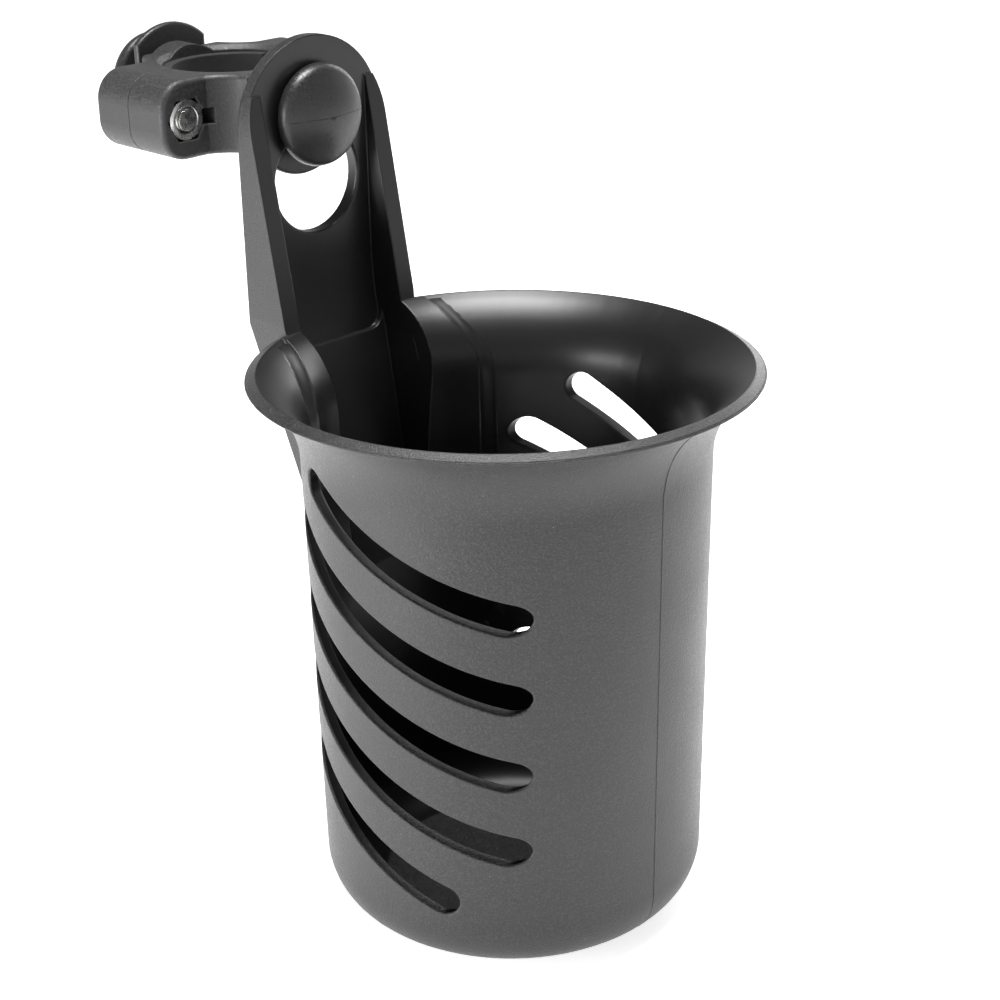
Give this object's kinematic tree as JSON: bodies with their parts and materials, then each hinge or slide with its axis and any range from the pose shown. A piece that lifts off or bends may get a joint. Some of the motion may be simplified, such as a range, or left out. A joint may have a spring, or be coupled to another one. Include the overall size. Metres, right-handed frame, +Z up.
{
  "type": "clamp-on cup holder",
  "caption": "Flared cup with curved side slots and a keyhole hanger, hung on a stud of a two-piece tube clamp with rubber linings.",
  "frame": {"origin": "centre of the flat underside of the cup", "axes": "+Z up along the cup's axis, +Y from the cup towards the clamped tube, +X to the right seen from the front of the cup"},
  "size_m": [0.099, 0.1593, 0.1704],
  "materials": {
    "cup_plastic": "fine moulded texture, semi-matte",
    "clamp_plastic": "coarse spark-eroded texture, matte",
    "stud_plastic": "smooth satin",
    "lining_rubber": "matte",
    "steel": "bright plated"
  },
  "bodies": {
    "front_half": {"front_clamp_half": "clamp_plastic", "front_grip_pad": "lining_rubber", "left_nut": "steel"},
    "front_stud": {"front_stud": "stud_plastic"},
    "cup": {"cup": "cup_plastic"},
    "rear_half": {"rear_clamp_half": "clamp_plastic", "rear_grip_pad": "lining_rubber", "right_nut": "steel"},
    "rear_stud": {"rear_stud": "stud_plastic"},
    "left_bolt": {"left_bolt": "steel"},
    "right_bolt": {"right_bolt": "steel"}
  },
  "joints": [
    {"name": "cup_swing", "type": "hinge", "parent": "front_half", "child": "front_stud", "pos_m": [0, 0.0544, 0.15488], "axis": [0, -1, 0], "continuous": true},
    {"name": "cup_lift", "type": "slide", "parent": "front_stud", "child": "cup", "axis": [0, 0, 1], "range_m": [0, 0.01338]},
    {"name": "clamp_open", "type": "slide", "parent": "front_half", "child": "rear_half", "axis": [0, 1, 0], "range_m": [0, 0.004]},
    {"name": "right_bolt_turn", "type": "hinge", "parent": "front_half", "child": "right_bolt", "pos_m": [0.0205, 0.07825, 0.15488], "axis": [0, -1, 0], "range_deg": [0, 1800]},
    {"name": "left_bolt_turn", "type": "hinge", "parent": "rear_half", "child": "left_bolt", "pos_m": [-0.0205, 0.07825, 0.15488], "axis": [0, 1, 0], "range_deg": [0, 1800]},
    {"name": "rear_stud_turn", "type": "hinge", "parent": "rear_half", "child": "rear_stud", "pos_m": [0, 0.1021, 0.15488], "axis": [0, 1, 0], "continuous": true}
  ],
  "couplings": [
    {"joint": "right_bolt_turn", "follows": "clamp_open", "rad_per_m": 7854},
    {"joint": "left_bolt_turn", "follows": "clamp_open", "rad_per_m": 7854}
  ]
}
